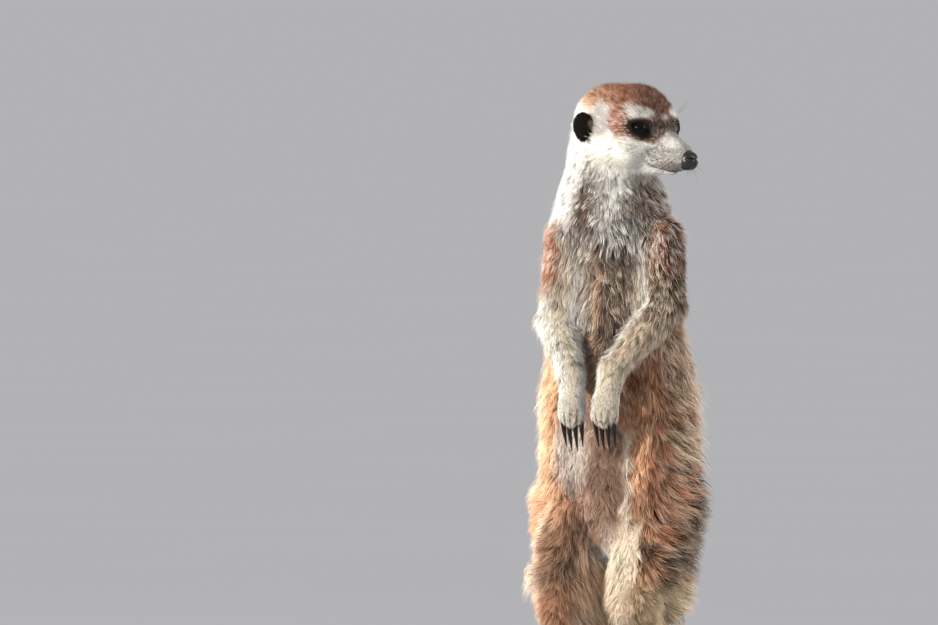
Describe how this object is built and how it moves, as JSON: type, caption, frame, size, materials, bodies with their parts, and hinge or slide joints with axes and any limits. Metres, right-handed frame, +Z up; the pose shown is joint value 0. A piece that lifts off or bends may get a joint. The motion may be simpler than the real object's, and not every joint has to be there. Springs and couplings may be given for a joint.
{
  "type": "standing meerkat figure",
  "caption": "Life-size meerkat standing upright on its hind feet and tail, hands hanging in front of the belly and the head turned to its left.",
  "frame": {"origin": "on the floor, under the middle of the whole outline's box", "axes": "+Z up, the chest faces -Y and the animal's left side is +X; the head is turned 67 degrees from -Y towards +X"},
  "size_m": [0.0932, 0.24, 0.318],
  "materials": {
    "coat": "ticked fur, cream to rust with dark bands, matt",
    "coat_dark": "short blackish brown fur, matt",
    "nose": "moist black leather with fine pebbling",
    "eye": "clear wet gloss over a dark brown iris",
    "claw": "dark polished horn"
  },
  "bodies": {
    "root": {"belly": "coat", "chest": "coat", "ear_left": "coat_dark", "ear_right": "coat_dark", "eye_left": "eye", "eye_right": "eye", "foot_claw_inner_left": "claw", "foot_claw_inner_right": "claw", "foot_claw_middle_inner_left": "claw", "foot_claw_middle_inner_right": "claw", "foot_claw_middle_outer_left": "claw", "foot_claw_middle_outer_right": "claw", "foot_claw_outer_left": "claw", "foot_claw_outer_right": "claw", "foot_left": "coat", "foot_right": "coat", "forearm_left": "coat", "forearm_right": "coat", "hand_claw_inner_left": "claw", "hand_claw_inner_right": "claw", "hand_claw_middle_inner_left": "claw", "hand_claw_middle_inner_right": "claw", "hand_claw_middle_outer_left": "claw", "hand_claw_middle_outer_right": "claw", "hand_claw_outer_left": "claw", "hand_claw_outer_right": "claw", "hand_left": "coat", "hand_right": "coat", "head": "coat", "neck": "coat", "nose": "nose", "shank_left": "coat", "shank_right": "coat", "tail_base": "coat", "tail_middle": "coat", "tail_tip": "coat_dark", "thigh_left": "coat", "thigh_right": "coat", "upper_arm_left": "coat", "upper_arm_right": "coat"}
  },
  "joints": []
}
